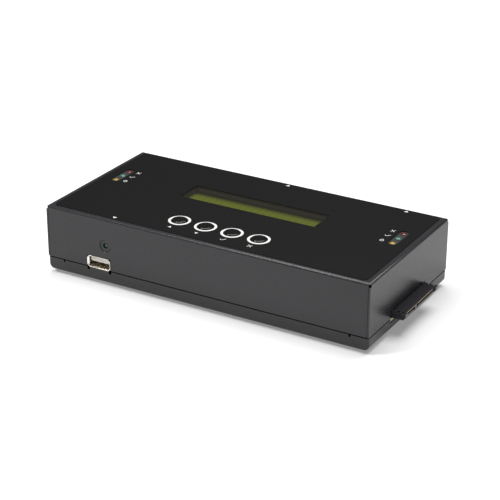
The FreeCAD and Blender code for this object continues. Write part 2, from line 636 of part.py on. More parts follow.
def status_lights():
    """Three lights on a holder at each end of the top panel, and the activity light."""
    height = "(dims.light_rise + dims.light_barrel)"
    for side, sign in SIDES:
        x = f"{sign} * dims.light_x"
        for number, name in enumerate(LIGHT_NAMES):
            y = f"dims.light_y + {1 - number} * dims.light_pitch"
            light = new_body(f"{name}_light_{side}", x, y, f"{OVERLAY_TOP} + dims.light_rise")
            dome(light, "dims.light_shoulder", height)
        holder = new_body("light_holder_" + side, x, "dims.light_y", "dims.panel_board_top")
        outline = new_sketch(holder, "XY_Plane")
        add_slot(outline, "dims.holder_width", "dims.holder_length", "0", "0")
        pad(holder, outline, f"{OVERLAY_TOP} - dims.light_barrel - dims.panel_board_top")

    # the activity light points forward from a block on the panel board
    tip = "(-dims.case_depth / 2 + dims.activity_depth)"
    block = new_body("activity_light_holder", "dims.activity_x", "0", "dims.panel_board_top")
    side_view = new_sketch(block, "YZ_Plane")
    height = "(dims.activity_z - dims.panel_board_top + dims.activity_block / 2)"
    add_rectangle(side_view, "dims.activity_block", height,
                  f"{tip} + dims.activity_length + dims.activity_block / 2", f"{height} / 2")
    pad(block, side_view, "dims.activity_block", midplane=True)
    light = new_body("activity_light", "dims.activity_x", tip, "dims.activity_z")
    dome(light, "dims.activity_shoulder", "dims.activity_length")
    light.Placement = Placement(light.Placement.Base, Rotation(Vector(1, 0, 0), 90))


def dome(body, shoulder, height):
    """A round-topped light whose tip is at the body's origin and which points up."""
    radius = "dims.light_radius"
    turned(body, (("0", "0"), (f"{radius} / 2", "0"), (radius, f"-{shoulder}"),
                  (radius, f"-{height}"), ("0", f"-{height}")))


# ---------------------------------------------------------------- circuit boards

def main_board():
    """The board in the tray, with a tab through each end wall under a drive connector."""
    body = new_body("main_board")
    half, tab = "dims.board_length / 2", "(dims.case_length / 2 - 0.3)"
    side, edge = "dims.board_depth / 2", "dims.board_tab_depth / 2"
    low, high = f"dims.drive_y - {edge} + 2", f"dims.drive_y + {edge} - 2"
    outline = new_sketch(body, "XY_Plane", BOARD_BOTTOM)
    add_polygon(outline, ((f"-{half}", f"-{side}"), (half, f"-{side}"), (half, low),
                          (tab, low), (tab, high), (half, high), (half, side),
                          (f"-{half}", side), (f"-{half}", high), (f"-{tab}", high),
                          (f"-{tab}", low), (f"-{half}", low)))
    pad(body, outline, "dims.board_thickness")


def board_spots():
    """Where the main board is screwed down."""
    return [(f"{across} * dims.board_post_x", f"{along} * dims.board_post_y")
            for across in (-1, 1) for along in (-1, 1)]


def board_hardware():
    """Hexagonal posts under the two boards and the heads of the board screws."""
    post, head, rise = (value("dims." + name) for name in ("post_width", "screw_head",
                                                           "screw_rise"))
    floor, under, top = value(FLOOR_TOP), value(BOARD_BOTTOM), value(SEAM)
    spacers = [hexagon(post, under - floor, point(x, y, floor), UP) for x, y in board_spots()]
    screws = [hexagon(head, rise, point(x, y, top), UP) for x, y in board_spots()]
    new_shape("board_spacers", Part.makeCompound(spacers))

    top, under, low = value("dims.panel_board_top"), value(COVER_UNDER), value(PANEL_BOTTOM)
    spacers = [hexagon(post, under - top, point(x, y, top), UP) for x, y in panel_spots()]
    screws += [hexagon(head, rise, point(x, y, low), DOWN) for x, y in panel_spots()]
    new_shape("panel_spacers", Part.makeCompound(spacers))
    new_shape("board_screws", Part.makeCompound(screws))


def panel_board():
    """The upper board, which carries the display, the keys and the lights."""
    body = new_body("panel_board")
    outline = new_sketch(body, "XY_Plane", PANEL_BOTTOM)
    add_rectangle(outline, "dims.panel_board_length", "dims.panel_board_depth",
                  y="dims.panel_board_y")
    pad(body, outline, "dims.board_thickness")


def panel_spots():
    """Where the panel board hangs from the cover."""
    return [(f"{across} * dims.panel_post_x", f"dims.panel_board_y + {along} * dims.panel_post_y")
            for across in (-1, 1) for along in (-1, 1)]


def components():
    """The plug between the boards, the controller and the supply parts."""
    low, high = value(SEAM), value(PANEL_BOTTOM)
    reach, half, middle = (value(x) for x in ("dims.plug_length / 2", "dims.plug_width / 2",
                                              "dims.plug_y"))
    new_shape("board_plug", box(-reach, reach, middle - half, middle + half, low, high))

    chip = new_body("controller_chip", "dims.chip_x", "dims.chip_y", SEAM)
    outline = new_sketch(chip, "XY_Plane")
    add_rectangle(outline, "dims.chip_side", "dims.chip_side")
    package = pad(chip, outline, "dims.board_thickness")
    top = value("dims.board_thickness")
    dressed(chip, "Chamfer", package, "dims.chip_chamfer", lambda e: is_level(e, top))

    # an inductor and two capacitors beside the power jack
    spot = point("dims.coil_x", "dims.coil_y", SEAM)
    coil = rod(value("dims.coil_diameter"), value("dims.coil_height"), spot, UP)
    half = value("dims.coil_base / 2")
    base = box(spot.x - half, spot.x + half, spot.y - half, spot.y + half, low, low + 0.8)
    new_shape("power_inductor", coil.fuse(base))
    cans = [rod(value("dims.can_diameter"), value("dims.can_height"),
                point(f"dims.can_x + {side} * dims.can_pitch / 2", "dims.can_y", SEAM), UP)
            for side in (-1, 1)]
    new_shape("power_capacitors", Part.makeCompound(cans))


# ---------------------------------------------------------------- connectors

def drive_connectors():
    """The drive receptacles: a wide bar with two L-shaped slots between guide ears."""
    grooves = []
    for x in ("dims.ear_groove_x", "dims.ear_groove_x - dims.ear_groove_pitch"):
        near, far = f"{x} - dims.ear_groove / 2", f"{x} + dims.ear_groove / 2"
        grooves += [(far, "dims.ear_top"), (far, "dims.ear_top - dims.ear_groove"),
                    (near, "dims.ear_top - dims.ear_groove"), (near, "dims.ear_top")]
    for side, sign in SIDES:
        # both ends carry the same connector, turned half round; its x axis points
        # out of the end wall, which is its zero, and its heights are from the board
        turn = 0 if sign > 0 else 180
        across = f"{sign} * dims.case_length / 2"
        body = new_body("drive_connector_" + side, across, "dims.drive_y", SEAM, turn)
        bar = new_sketch(body, "XZ_Plane")
        add_polygon(bar, (("-dims.drive_inside", "0"), ("-dims.wall_step", "0"),
                          ("-dims.wall_step", "dims.nose_bottom"),
                          ("dims.drive_reach", "dims.nose_bottom"),
                          ("dims.drive_reach", "dims.drive_height"),
                          ("-dims.drive_inside", "dims.drive_height")))
        pad(body, bar, "2 * dims.drive_half", midplane=True)
        for lift in ("dims.drive_half", "-dims.drive_half - dims.ear_width"):
            ear = new_sketch(body, "XZ_Plane", lift)
            add_polygon(ear, (("-dims.ear_inside", "dims.nose_bottom"),
                              ("dims.ear_reach - dims.ear_chamfer_length", "dims.nose_bottom"),
                              ("dims.ear_reach", "dims.nose_bottom + dims.ear_chamfer_height"),
                              ("dims.ear_reach", "dims.ear_top"), *grooves,
                              ("-dims.ear_inside", "dims.ear_top")))
            pad(body, ear, "dims.ear_width")
        slots = new_sketch(body, "YZ_Plane", "dims.drive_reach")
        inner, outer = "dims.signal_end - dims.slot_key_width", "-dims.slot_half"
        add_polygon(slots, ((outer, "dims.slot_top"), (outer, "dims.slot_bottom"),
                            (inner, "dims.slot_bottom"), (inner, "dims.slot_key_bottom"),
                            ("dims.signal_end", "dims.slot_key_bottom"),
                            ("dims.signal_end", "dims.slot_top")))
        inner, outer = "dims.power_start + dims.slot_key_width", "dims.slot_half"
        add_polygon(slots, (("dims.power_start", "dims.slot_top"),
                            ("dims.power_start", "dims.slot_key_bottom"),
                            (inner, "dims.slot_key_bottom"), (inner, "dims.slot_bottom"),
                            (outer, "dims.slot_bottom"), (outer, "dims.slot_top")))
        pocket(body, slots, "dims.slot_depth")

        top, inside = value("dims.slot_top"), value("dims.drive_reach - dims.slot_depth")
        low, tip = value("dims.slot_top - dims.blade_thickness"), value("dims.drive_reach - 0.3")
        half, pitch = value("dims.blade_width / 2"), value("dims.blade_pitch")
        signal = value("dims.signal_end - dims.blade_first")
        power = value("dims.power_start + dims.blade_first")
        spots = [signal - pitch * i for i in range(7)] + [power + pitch * i for i in range(15)]
        contacts = [box(inside, tip, y - half, y + half, low, top) for y in spots]
        blades = new_shape("drive_contacts_" + side, Part.makeCompound(contacts))
        place(blades, across, "dims.drive_y", SEAM, turn)


def usb_socket():
    """A front USB socket: folded shell with flared lips, insulator and contacts."""
    # its own y axis runs into the box from the front face
    at = ("dims.usb_x", "-dims.case_depth / 2", "dims.usb_z")
    shell = new_body("usb_shell", *at)
    tube = new_sketch(shell, "XZ_Plane", "-0.3")
    add_rectangle(tube, "dims.usb_width", "dims.usb_height")
    pad(shell, tube, "dims.usb_length - 0.3", backwards=True)
    for kind, inset in (("AdditiveLoft", "0"), ("SubtractiveLoft", "dims.usb_sheet")):
        near = new_sketch(shell, "XZ_Plane", "-0.3")
        add_cut_rectangle(near, f"dims.usb_width - 2 * {inset}",
                          f"dims.usb_height - 2 * {inset}", "dims.usb_sheet")
        far = new_sketch(shell, "XZ_Plane", "dims.usb_lip_rise")
        add_cut_rectangle(far, f"dims.usb_lip_width - 2 * {inset}",
                          f"dims.usb_lip_height - 2 * {inset}", "dims.usb_lip_corner")
        lips = shell.newObject("PartDesign::" + kind, "usb_lips")
        lips.Profile = (near, [""])
        lips.Sections = [(far, [""])]
    cavity = new_sketch(shell, "XZ_Plane", "-0.3")
    add_rectangle(cavity, "dims.usb_width - 2 * dims.usb_sheet",
                  "dims.usb_height - 2 * dims.usb_sheet")
    pocket(shell, cavity, "dims.usb_length - 0.3 - dims.usb_sheet")
    low = "(-dims.usb_height / 2 + dims.usb_sheet)"
    for across in (-1, 1):
        leaf = new_sketch(shell, "YZ_Plane",
                          f"{across} * dims.usb_leaf_x - dims.usb_leaf_width / 2")
        add_polygon(leaf, (("2.5", f"{low} - 0.1"), ("9", f"{low} - 0.1"),
                           ("5", f"{low} + 0.55"), ("3.4", f"{low} + 0.55")))
        pad(shell, leaf, "dims.usb_leaf_width")

    insulator = new_body("usb_insulator", *at)
    block = new_sketch(insulator, "XZ_Plane", "-dims.usb_insulator_start")
    add_rectangle(block, "dims.usb_insulator_width", "dims.usb_insulator_height")
    pad(insulator, block, "dims.usb_length - dims.usb_sheet - 0.1 - dims.usb_insulator_start",
        backwards=True)
    tongue = new_sketch(insulator, "XZ_Plane", "-dims.usb_tongue_start")
    add_rectangle(tongue, "dims.usb_tongue_width", "dims.usb_tongue_height",
                  y="dims.usb_tongue_z")
    pad(insulator, tongue, "dims.usb_insulator_start - dims.usb_tongue_start + 0.1",
        backwards=True)

    half, near, far = (value(x) for x in ("dims.usb_blade_width / 2", "dims.usb_blade_start",
                                          "dims.usb_insulator_start - 0.1"))
    under = value("dims.usb_tongue_z - dims.usb_tongue_height / 2")
    contacts = [box(x - half, x + half, near, far, under - 0.25, under)
                for x in (-3.5, -1, 1, 3.5)]
    strips = new_shape("usb_contacts", Part.makeCompound(contacts))
    place(strips, *at)


def power_jack():
    """A barrel power jack on the main board, its nose in the back panel's hole."""
    at = ("dims.power_x", "dims.case_depth / 2 - dims.sheet", "dims.power_z")
    body = new_body("power_jack", *at)
    block = new_sketch(body, "XZ_Plane")
    low = f"({SEAM} - dims.power_z)"
    add_rectangle(block, "dims.power_width", "dims.power_height",
                  y=f"{low} + dims.power_height / 2")
    pad(body, block, "dims.power_length")
    nose = new_sketch(body, "XZ_Plane")
    add_circle(nose, "dims.power_nose")
    pad(body, nose, "dims.sheet", backwards=True)
    bore = new_sketch(body, "XZ_Plane", "-dims.sheet")
    add_circle(bore, "dims.power_bore")
    pocket(body, bore, "dims.power_bore_depth", backwards=True)
    length = value("dims.power_pin_length")
    pin = rod(value("dims.power_pin"), length, Vector(0, -length, 0), BACKWARDS)
    centre = new_shape("power_jack_pin", pin)
    place(centre, *at)


def serial_port():
    """A nine-pin plug with its D-shaped shell, flange and two hexagonal jackscrews."""
    at = ("dims.serial_x", "dims.case_depth / 2 - dims.sheet", "dims.serial_z")
    slant = 2 * math.tan(math.radians(10))

    def outline(sketch, inset):
        width = f"(dims.serial_width / 2 - {inset})"
        high = f"(dims.serial_height / 2 - {inset})"
        drop = f"({width} - {high} * {slant:.5f})"
        add_polygon(sketch, ((f"-{width}", high), (f"-{drop}", f"-{high}"),
                             (drop, f"-{high}"), (width, high)))

    def is_corner(edge, length):
        return len(edge.Vertexes) == 2 and abs(edge.Length - length) < 1e-3

    shell = new_body("serial_shell", *at)
    plate = new_sketch(shell, "XZ_Plane")
    add_rectangle(plate, "dims.flange_width", "dims.flange_height")
    pad(shell, plate, "dims.flange_sheet")
    horn = new_sketch(shell, "XZ_Plane")
    outline(horn, "0")
    pad(shell, horn, "dims.serial_reach", backwards=True)
    hollow = new_sketch(shell, "XZ_Plane", "-dims.serial_reach")
    outline(hollow, "dims.serial_sheet")
    nose = pocket(shell, hollow, "dims.serial_reach + 2", backwards=True)
    reach, sheet = value("dims.serial_reach"), value("dims.flange_sheet")
    for length, radius in ((reach + sheet, "dims.serial_corner - dims.serial_sheet"),
                           (reach, "dims.serial_corner")):
        nose = dressed(shell, "Fillet", nose, radius, lambda e, long=length: is_corner(e, long))
        shell.Tip = nose

    insulator = new_body("serial_insulator", *at)
    front = new_sketch(insulator, "XZ_Plane", "-dims.serial_front")
    outline(front, "(dims.serial_sheet + dims.serial_front_play)")
    stub = pad(insulator, front, "dims.serial_front + dims.flange_sheet")
    deep = value("dims.serial_front + dims.flange_sheet")
    dressed(insulator, "Fillet", stub, "dims.serial_corner - dims.serial_sheet",
            lambda e: is_corner(e, deep))
    rear = new_sketch(insulator, "XZ_Plane", "dims.flange_sheet")
    low = f"({SEAM} - dims.serial_z)"
    add_rectangle(rear, "dims.flange_width", f"dims.serial_top - {low}",
                  y=f"(dims.serial_top + {low}) / 2")
    pad(insulator, rear, "dims.serial_length")

    pins = []
    front, row_z, pitch = (value("dims." + n) for n in ("serial_front", "pin_row", "pin_pitch"))
    width, length = value("dims.pin_width"), value("dims.pin_length")
    for row, count in ((1, 5), (-1, 4)):
        for number in range(count):
            seat = Vector((number - (count - 1) / 2) * pitch, front, row * row_z)
            pins.append(hexagon(width, length, seat, BACKWARDS))
    group = new_shape("serial_pins", Part.makeCompound(pins))
    place(group, *at)

    screws = []
    width = value("dims.jackscrew_width")
    for side in (-1, 1):
        face = point(f"{side} * dims.jackscrew_pitch / 2", "dims.sheet")
        bar = hexagon(width, width, face, BACKWARDS)
        shank = hexagon(value("dims.jackscrew_shank"), face.y, face, -BACKWARDS)
        socket = rod(value("dims.jackscrew_bore"), width, face + BACKWARDS * 0.3, BACKWARDS)
        screws.append(bar.fuse(shank).cut(socket))
    group = new_shape("serial_jackscrews", Part.makeCompound(screws))
    place(group, *at)


# ---------------------------------------------------------------- build and write

for build in (top_cover, bottom_tray, rubber_feet, cover_screws, graphic_overlay, display,
              keys, status_lights, main_board, panel_board, board_hardware, components,
              drive_connectors, usb_socket, power_jack, serial_port):
    build()
doc.recompute()

for item in doc.Objects:
    if "Invalid" in item.State or "Error" in item.State:
        raise RuntimeError(f"{item.Name} failed: {item.State}")
    if item.TypeId in ("PartDesign::Pocket", "PartDesign::SubtractiveCylinder"):
        if item.BaseFeature.Shape.Volume - item.Shape.Volume < 1e-3:
            raise RuntimeError(f"{item.Name} removes nothing")

os.makedirs("parts", exist_ok=True)
for item in parts:
    if item.Shape.isNull() or not item.Shape.isValid():
        raise RuntimeError(f"{item.Label} has no valid shape")
    item.Shape.exportStep(f"parts/{item.Label}.step")
print(len(parts), "parts")
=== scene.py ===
# %% [markdown]
# # Dressing a drive duplicator
# The solids of a bench instrument are loaded as a fixed frame: a folded steel box, a printed
# film on top, a small display, four keys, status lights, a front USB socket, a drive socket
# at each end and the ports at the back. This lesson gives each of them its real finish and
# adds what is too fine for the solids, such as printed marks and rounded rims.

# %% Load the solids
from math import cos, pi, radians, sin

import bmesh
import bpy
from mathutils import Matrix, Vector


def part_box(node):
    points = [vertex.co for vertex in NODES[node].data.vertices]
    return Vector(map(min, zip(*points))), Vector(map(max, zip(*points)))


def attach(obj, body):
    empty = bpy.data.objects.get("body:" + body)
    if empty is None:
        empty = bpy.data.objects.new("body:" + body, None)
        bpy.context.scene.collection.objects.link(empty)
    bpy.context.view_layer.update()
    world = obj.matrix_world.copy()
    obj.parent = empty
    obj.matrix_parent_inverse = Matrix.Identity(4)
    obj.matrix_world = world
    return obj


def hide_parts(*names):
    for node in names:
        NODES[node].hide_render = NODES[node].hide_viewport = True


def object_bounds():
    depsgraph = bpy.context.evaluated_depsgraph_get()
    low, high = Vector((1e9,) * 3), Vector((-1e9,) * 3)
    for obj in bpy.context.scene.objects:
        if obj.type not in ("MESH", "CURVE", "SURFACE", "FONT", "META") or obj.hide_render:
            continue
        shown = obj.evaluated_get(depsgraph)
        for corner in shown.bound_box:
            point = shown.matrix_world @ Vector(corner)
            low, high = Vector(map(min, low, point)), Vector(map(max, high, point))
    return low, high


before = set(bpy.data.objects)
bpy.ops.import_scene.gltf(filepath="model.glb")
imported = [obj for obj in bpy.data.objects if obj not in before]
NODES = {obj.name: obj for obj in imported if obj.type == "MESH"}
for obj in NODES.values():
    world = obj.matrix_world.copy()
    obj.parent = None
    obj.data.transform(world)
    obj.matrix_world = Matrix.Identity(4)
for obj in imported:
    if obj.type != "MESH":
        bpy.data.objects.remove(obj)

START = [list(corner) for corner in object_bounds()]
MM = 0.001
print(len(NODES), "solids, box in mm:", [[round(c / MM, 1) for c in corner] for corner in START])

# %% [markdown]
# ## Camera
# The camera stands to the right of the front and looks down on the panel. It is far away with
# a long lens, so that the box's long edges stay almost parallel, as in a catalogue picture.
# A camera looks along its own -Z, so its matrix holds the right, up and backward directions.

# %% Place the camera
AZIMUTH, ELEVATION, ROLL = radians(29.95), radians(24.54), radians(0.2)
DISTANCE = 848.6 * MM
LENS = 116.2                            # focal length in mm
NEAREST = 10 * MM                       # nothing nearer than this is drawn
UNDERSIDE = Vector((0, -2.25, 1.8))     # the middle of the steel box's underside, in mm
BESIDE, ABOVE = 2.30, 12.92             # how far from it the view's centre lies, in mm

backward = Vector((sin(AZIMUTH) * cos(ELEVATION), -cos(AZIMUTH) * cos(ELEVATION), sin(ELEVATION)))
rightward = Vector((cos(AZIMUTH), sin(AZIMUTH), 0))
upward = backward.cross(rightward)
turned_right = rightward * cos(ROLL) + upward * sin(ROLL)
turned_up = upward * cos(ROLL) - rightward * sin(ROLL)
aim = UNDERSIDE * MM + turned_right * BESIDE * MM + turned_up * ABOVE * MM

camera_data = bpy.data.cameras.new("camera")
camera_data.lens = LENS
camera_data.clip_start = NEAREST
camera = bpy.data.objects.new("camera", camera_data)
axes = Matrix((turned_right, turned_up, backward)).transposed()
camera.matrix_world = Matrix.Translation(aim + backward * DISTANCE) @ axes.to_4x4()
bpy.context.scene.collection.objects.link(camera)
bpy.context.scene.camera = camera
print("camera at", [round(c, 3) for c in camera.location])

# %% [markdown]
# ## Helpers for materials
# Colours are written as they would be picked on a screen, so one function turns them into the
# linear values that a shader adds up. One more function adds a shader node, sets its options
# and fills its sockets with a number, a colour or another node's output.

# %% Colour and shader helpers
def colour(text):
    """A screen colour such as '#8a8a8a' as linear red, green, blue and alpha."""
    parts = [int(text[i:i + 2], 16) / 255 for i in (1, 3, 5)]
    return [c / 12.92 if c <= 0.04045 else ((c + 0.055) / 1.055) ** 2.4 for c in parts] + [1.0]


def add(tree, kind, inputs=None, **options):
    """Add one shader node. Inputs are given by name or number, as values or sockets."""
    item = tree.nodes.new(kind)
    for name, choice in options.items():
        setattr(item, name, choice)
    for name, given in (inputs or {}).items():
        if isinstance(given, bpy.types.NodeSocket):
            tree.links.new(given, item.inputs[name])
        else:
            item.inputs[name].default_value = given
    return item


def new_material(name, base, roughness, **sockets):
    """A Principled material. Returns the material, its tree, its shader and Object coordinates."""
    material = bpy.data.materials.new(name)
    material.use_nodes = True
    tree = material.node_tree
    shader = tree.nodes["Principled BSDF"]
    shader.inputs["Base Color"].default_value = colour(base)
    shader.inputs["Roughness"].default_value = roughness
    for socket, given in sockets.items():
        shader.inputs[socket.replace("_", " ")].default_value = given
    place = add(tree, "ShaderNodeTexCoord").outputs["Object"]
    return material, tree, shader, place


print("a screen's middle grey is", round(colour("#808080")[0], 3), "of white light")

# %% [markdown]
# ## Powder-coated steel
# The box is folded from 1 mm sheet steel and powder coated. The powder melts into a skin with
# a fine even orange peel, about 0.6 mm from bump to bump, so highlights on it are soft and
# slightly grainy. It isn't metallic: the steel is hidden. A wide, weak noise keeps large faces
# from looking painted with one flat colour.

# %% Make the powder coat
PEEL, PEEL_DEPTH = 0.6 * MM, 0.06 * MM
CLOUD = 40 * MM


def powder_coat(name, dark, light):
    """Powder-coated steel, mottled between two colours."""
    material, tree, shader, place = new_material(name, dark, 0.3, IOR=1.5,
                                                 Specular_IOR_Level=0.4)
    cloud = add(tree, "ShaderNodeTexNoise", {"Vector": place, "Scale": 1 / CLOUD, "Detail": 2.0})
    peel = add(tree, "ShaderNodeTexNoise", {"Vector": place, "Scale": 1 / PEEL, "Detail": 3.0,
                                            "Roughness": 0.6})
    speck = add(tree, "ShaderNodeMath", {0: cloud.outputs["Fac"], 1: peel.outputs["Fac"],
                                         2: 0.15}, operation="MULTIPLY_ADD")
    tint = add(tree, "ShaderNodeMix", {0: speck.outputs[0], 6: colour(dark), 7: colour(light)},
               data_type="RGBA")
    tree.links.new(tint.outputs[2], shader.inputs["Base Color"])
    gloss = add(tree, "ShaderNodeMapRange", {0: peel.outputs["Fac"], 1: 0.3, 2: 0.7,
                                             3: 0.26, 4: 0.34})
    tree.links.new(gloss.outputs[0], shader.inputs["Roughness"])
    bump = add(tree, "ShaderNodeBump", {"Height": peel.outputs["Fac"], "Strength": 0.35,
                                        "Distance": PEEL_DEPTH})
    tree.links.new(bump.outputs[0], shader.inputs["Normal"])
    return material


# The tray's coat is a shade darker than the cover's. This is painted shade for the low tray, which
# lies more in shadow.
cover_coat = powder_coat("powder_coated_steel_cover", "#28282b", "#39373a")
tray_coat_with_painted_shade = powder_coat("powder_coated_steel_tray", "#252527", "#333335")
print("coats:", cover_coat.name, tray_coat_with_painted_shade.name)

# %% [markdown]
# ## The folded box
# A solid arrives as loose triangles. Where light has to run smoothly round a bend, a copy is
# merged, its flat triangles are dissolved into whole faces, and only edges sharper than an
# angle stay hard. The copy then stands for the solid. Every piece keeps its object at the
# origin, so a pattern on Object coordinates is in metres from the middle of the footprint.

# %% Piece helpers
def from_bmesh(name, bm):
    """A mesh of that name from a bmesh, which is used up."""
    mesh = bpy.data.meshes.new(name)
    bm.to_mesh(mesh)
    bm.free()
    return mesh


def new_piece(name, mesh, material, body="chassis"):
    """Put a finished mesh into the scene and let it ride on a body."""
    bm = bmesh.new()
    bm.from_mesh(mesh)
    bmesh.ops.recalc_face_normals(bm, faces=bm.faces)
    bm.to_mesh(mesh)
    bm.free()
    mesh.materials.clear()
    mesh.materials.append(material)
    piece = bpy.data.objects.new(name, mesh)
    bpy.context.scene.collection.objects.link(piece)
    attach(piece, body)
    return piece


def shaded(mesh, angle=40.0):
    """Shade a mesh smoothly, apart from edges sharper than that angle in degrees."""
    for face in mesh.polygons:
        face.use_smooth = True
    mesh.set_sharp_from_angle(angle=radians(angle))


# %% A merged and smoothly shaded copy of a solid
SAME_SPOT = 2e-6
FLAT, CORNER = radians(0.6), radians(45)


def smooth_copy(node, name, material, angle=32.0, edge=0.0, rows=2):
    """A merged copy of a solid with smooth bends and, if wanted, edges softened by edge in mm."""
    bm = bmesh.new()
    bm.from_mesh(NODES[node].data)
    bmesh.ops.remove_doubles(bm, verts=bm.verts, dist=SAME_SPOT)
    bmesh.ops.dissolve_limit(bm, angle_limit=FLAT, verts=bm.verts, edges=bm.edges)
    mesh = from_bmesh(name, bm)
    piece = new_piece(name, mesh, material)
    shaded(mesh, angle)
    if edge:
        bevel = piece.modifiers.new("soft edges", "BEVEL")
        bevel.width = edge * MM
        bevel.segments = rows
        bevel.limit_method = "ANGLE"
        bevel.angle_limit = CORNER
        bevel.harden_normals = True
    else:
        even = piece.modifiers.new("even shading", "WEIGHTED_NORMAL")
        even.keep_sharp = True
    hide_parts(node)
    return piece


# %% Dress the cover and the tray
cover = smooth_copy("top_cover", "cover_shell", cover_coat)
tray = smooth_copy("bottom_tray", "tray_shell", tray_coat_with_painted_shade)
print("cover faces:", len(cover.data.polygons), "tray faces:", len(tray.data.polygons))

# %% [markdown]
# ## Printed film
# The panel is a quarter-millimetre polyester film with a velvet surface, printed from behind
# in black. It reflects little and evenly. The texture is embossed at about 0.2 mm, finer than
# a picture of the whole object shows, so it is drawn at 0.4 mm.

# %% Make the film
VELVET, VELVET_DEPTH = 0.4 * MM, 0.02 * MM

film, tree, shader, place = new_material("velvet_polyester_film", "#0e0e0f", 0.42, IOR=1.5,
                                         Specular_IOR_Level=0.22)
grain = add(tree, "ShaderNodeTexNoise", {"Vector": place, "Scale": 1 / VELVET, "Detail": 2.0})
drift = add(tree, "ShaderNodeTexNoise", {"Vector": place, "Scale": 12.0, "Detail": 1.0})
shade = add(tree, "ShaderNodeMix", {0: drift.outputs["Fac"], 6: colour("#0c0c0d"),
                                    7: colour("#111112")}, data_type="RGBA")
tree.links.new(shade.outputs[2], shader.inputs["Base Color"])
bump = add(tree, "ShaderNodeBump", {"Height": grain.outputs["Fac"], "Strength": 0.25,
                                    "Distance": VELVET_DEPTH})
tree.links.new(bump.outputs[0], shader.inputs["Normal"])
overlay = smooth_copy("graphic_overlay", "panel_film", film)
FILM_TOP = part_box("graphic_overlay")[1][2]
print("film's top at", round(FILM_TOP / MM, 2), "mm")

# %% [markdown]
# ## White screen print
# The rings round the keys and the small marks are printed in opaque white ink, which stands a
# few hundredths of a millimetre proud and is never quite even in tone. Each mark is a flat
# shape pushed up by that thickness. The marks are plain signs, not words: arrows, a tick and a
# cross beside the keys and lights, and a pointer beside each port.

# %% Make the ink
INK = 0.04 * MM
MESH_MARKS = 0.5 * MM                   # the screen's weave, drawn coarse enough to show

ink, tree, shader, place = new_material("white_screen_print_ink", "#e9e9e6", 0.5)
mottle = add(tree, "ShaderNodeTexNoise", {"Vector": place, "Scale": 1 / MESH_MARKS})
faint = add(tree, "ShaderNodeMix", {0: mottle.outputs["Fac"], 6: colour("#dcdcd8"),
                                    7: colour("#f2f2ef")}, data_type="RGBA")
tree.links.new(faint.outputs[2], shader.inputs["Base Color"])
print("ink stands", INK / MM, "mm proud")

# %% Print the rings round the keys
KEYS = ("up", "down", "accept", "cancel")
RING_INNER, RING_OUTER = 4.6, 5.87      # radii in mm


def middle(node):
    """The middle of a solid's box, in metres."""
    low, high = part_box(node)
    return (Vector(low) + Vector(high)) / 2


def raised(bm, faces):
    """Give flat faces the ink's thickness, with their underside on the film."""
    grown = bmesh.ops.extrude_face_region(bm, geom=faces, use_keep_orig=True)
    tops = [v for v in grown["geom"] if isinstance(v, bmesh.types.BMVert)]
    bmesh.ops.translate(bm, verts=tops, vec=(0, 0, INK))


def ring(bm, x, y, inner, outer):
    """A printed ring round a spot in metres, with its radii in mm."""
    made = bmesh.ops.create_circle(bm, cap_ends=True, radius=outer * MM, segments=96,
                                   matrix=Matrix.Translation((x, y, FILM_TOP)))
    face = made["verts"][0].link_faces[0]
    bmesh.ops.inset_individual(bm, faces=[face], thickness=(outer - inner) * MM)
    band = [f for f in {f for v in made["verts"] for f in v.link_faces} if len(f.verts) == 4]
    bmesh.ops.delete(bm, geom=[face], context="FACES_ONLY")
    raised(bm, band)


bm = bmesh.new()
for key in KEYS:
    spot = middle("key_cap_" + key)
    ring(bm, spot.x, spot.y, RING_INNER, RING_OUTER)
rings = new_piece("key_rings_print", from_bmesh("key_rings_print", bm), ink)
print("faces in the four rings:", len(rings.data.polygons))

# %% Helpers for the signs, in mm
STROKE = 0.36


def patch(bm, corners):
    """One flat polygon from its corners, raised as ink."""
    face = bm.faces.new([bm.verts.new((x * MM, y * MM, FILM_TOP)) for x, y in corners])
    if face.normal.z < 0:
        face.normal_flip()
    raised(bm, [face])


def stroke(bm, start, end, width=STROKE):
    """A straight line with square ends."""
    a, b = Vector(start), Vector(end)
    along = (b - a).normalized() * width / 2
    side = Vector((-along.y, along.x))
    patch(bm, [a - along - side, b + along - side, b + along + side, a - along + side])


def arrow(bm, x, y, size, up=True):
    tip = size if up else -size
    patch(bm, [(x - size, y - tip * 0.6), (x + size, y - tip * 0.6), (x, y + tip * 0.8)])


def tick(bm, x, y, size):
    stroke(bm, (x - 1.1 * size, y), (x - 0.3 * size, y - 0.8 * size))
    stroke(bm, (x - 0.3 * size, y - 0.8 * size), (x + 1.1 * size, y + 0.9 * size))


def cross(bm, x, y, size):
    reach = 0.85 * size
    stroke(bm, (x - reach, y - reach), (x + reach, y + reach))
    stroke(bm, (x - reach, y + reach), (x + reach, y - reach))


def ring_with_stroke(bm, x, y, size):
    ring(bm, x * MM, y * MM, 0.75, size)
    stroke(bm, (x, y + 0.3), (x, y + 1.3), 0.34)


print("a stroke is", STROKE, "mm wide")

# %% Print a sign below each key
SIGN_DROP = 9.2                         # from a key's middle to its sign, in mm
ARROW_SIZE, MARK_SIZE = 1.1, 1.15

spots = [middle("key_cap_" + key) / MM for key in KEYS]
below = spots[0].y - SIGN_DROP
bm = bmesh.new()
arrow(bm, spots[0].x, below, ARROW_SIZE)
arrow(bm, spots[1].x, below, ARROW_SIZE, up=False)
tick(bm, spots[2].x, below, MARK_SIZE)
cross(bm, spots[3].x, below, MARK_SIZE)
key_signs = new_piece("key_signs_print", from_bmesh("key_signs_print", bm), ink)
print("key signs at y", round(below, 1), "mm")

# %% Print signs beside the lights
LIGHTS = ("fault", "pass", "power")
SIGN_AWAY, SIGN_SIZE = 6.0, 1.1         # from a light's middle, in mm

